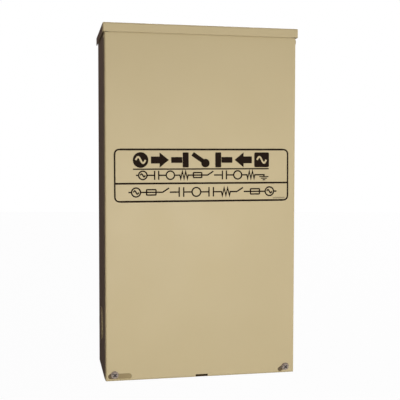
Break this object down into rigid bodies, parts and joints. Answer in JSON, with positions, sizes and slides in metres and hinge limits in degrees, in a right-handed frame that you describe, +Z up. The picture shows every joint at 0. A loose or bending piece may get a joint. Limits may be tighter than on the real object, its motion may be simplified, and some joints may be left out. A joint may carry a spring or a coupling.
{
  "type": "automatic transfer switch",
  "caption": "Wall-mounted rain-tight transfer switch: drip cap, top-hung cover with bottom screws and padlock hasp, two-pole solenoid transfer mechanism, lugs and controls inside.",
  "frame": {"origin": "centre of the four wall bolts, on the back face", "axes": "+X to the right seen from the front, +Y into the wall, +Z up"},
  "size_m": [0.342, 0.1621, 0.61],
  "materials": {
    "enclosure_paint": "semi-gloss powder coat",
    "black_steel": "black oxide",
    "zinc_plate": "zinc plated",
    "plain_steel": "turned and ground",
    "bronze": "machined",
    "copper": "rolled bar",
    "silver_contact": "satin",
    "lug_aluminium": "tin plated",
    "black_moulding": "moulded",
    "carrier_moulding": "moulded",
    "fibre_board": "pressed fibre",
    "white_nylon": "moulded",
    "coil_tape": "wrapped tape",
    "relay_winding": "enamelled wire",
    "clear_cover": "clear",
    "fuse_body": "melamine tube",
    "insulator_red": "moulded",
    "handle_vinyl": "dipped vinyl",
    "wire_insulation": "PVC insulation"
  },
  "bodies": {
    "enclosure": {"back_shell": "enclosure_paint", "bottom_end_wall": "enclosure_paint", "drip_cap": "enclosure_paint", "hinge_rivets": "enclosure_paint", "clinch_nuts": "zinc_plate", "hasp_guide": "enclosure_paint", "mounting_subplate": "zinc_plate", "subplate_studs": "zinc_plate", "subplate_nuts": "zinc_plate", "plate_screws": "zinc_plate", "switch_base": "black_moulding", "frame_cheeks": "zinc_plate", "shaft_bushes": "bronze", "fixed_contacts": "silver_contact", "utility_bars": "copper", "generator_bars": "copper", "load_bars": "copper", "utility_lugs": "lug_aluminium", "generator_lugs": "lug_aluminium", "load_lugs": "lug_aluminium", "lug_screws": "zinc_plate", "arc_chute_cheeks": "fibre_board", "splitter_plates": "plain_steel", "utility_coil": "coil_tape", "generator_coil": "coil_tape", "coil_bobbins": "white_nylon", "coil_yokes": "zinc_plate", "limit_switches": "black_moulding", "rectifiers": "black_moulding", "relay_base": "black_moulding", "relay_coil": "relay_winding", "relay_cover": "clear_cover", "fuse_block": "black_moulding", "fuses": "fuse_body", "terminal_strip": "black_moulding", "terminal_screws": "zinc_plate", "neutral_insulators": "insulator_red", "neutral_bar": "lug_aluminium", "bar_screws": "zinc_plate", "ground_bar": "lug_aluminium", "handle_clips": "black_moulding", "control_wires": "wire_insulation"},
    "cover": {"front_cover": "enclosure_paint"},
    "screw_left": {"cover_screw_left": "zinc_plate"},
    "screw_right": {"cover_screw_right": "zinc_plate"},
    "hasp": {"padlock_hasp": "black_steel"},
    "transfer_rotor": {"transfer_shaft": "plain_steel", "retaining_rings": "plain_steel", "contact_carriers": "carrier_moulding", "contact_arms": "copper", "moving_contacts": "silver_contact", "drive_lever": "plain_steel", "drive_pin": "plain_steel", "switch_cam": "white_nylon", "handle_socket": "plain_steel"},
    "plunger": {"solenoid_plunger": "plain_steel"},
    "utility_lever": {"utility_switch_lever": "plain_steel"},
    "generator_lever": {"generator_switch_lever": "plain_steel"},
    "handle": {"manual_handle": "zinc_plate", "handle_grip": "handle_vinyl"}
  },
  "joints": [
    {"name": "cover_swing", "type": "hinge", "parent": "enclosure", "child": "cover", "pos_m": [0, -0.152, 0.2875], "axis": [-1, 0, 0], "range_deg": [0, 90]},
    {"name": "left_screw_turn", "type": "hinge", "parent": "cover", "child": "screw_left", "pos_m": [-0.152, -0.158, -0.2888], "axis": [0, -1, 0], "continuous": true},
    {"name": "right_screw_turn", "type": "hinge", "parent": "cover", "child": "screw_right", "pos_m": [0.152, -0.158, -0.2888], "axis": [0, -1, 0], "continuous": true},
    {"name": "hasp_slide", "type": "slide", "parent": "enclosure", "child": "hasp", "axis": [0, -1, 0], "range_m": [0, 0.034]},
    {"name": "transfer_turn", "type": "hinge", "parent": "enclosure", "child": "transfer_rotor", "pos_m": [0, -0.04, 0.045], "axis": [1, 0, 0], "range_deg": [0, 46]},
    {"name": "plunger_slide", "type": "slide", "parent": "enclosure", "child": "plunger", "axis": [0, 0, -1], "range_m": [0, 0.01875]},
    {"name": "utility_lever_swing", "type": "hinge", "parent": "enclosure", "child": "utility_lever", "pos_m": [-0.097, -0.026, 0.0725], "axis": [1, 0, 0], "range_deg": [0, 4.7]},
    {"name": "generator_lever_swing", "type": "hinge", "parent": "enclosure", "child": "generator_lever", "pos_m": [-0.097, -0.026, 0.0175], "axis": [1, 0, 0], "range_deg": [0, 4.7]},
    {"name": "handle_draw", "type": "slide", "parent": "enclosure", "child": "handle", "axis": [0, -1, 0], "range_m": [0, 0.06]}
  ],
  "couplings": [
    {"joint": "transfer_turn", "follows": "plunger_slide", "rad_per_m": 42.808},
    {"joint": "utility_lever_swing", "follows": "plunger_slide", "rad_per_m": 4.2808},
    {"joint": "generator_lever_swing", "follows": "plunger_slide", "rad_per_m": 4.2808}
  ]
}
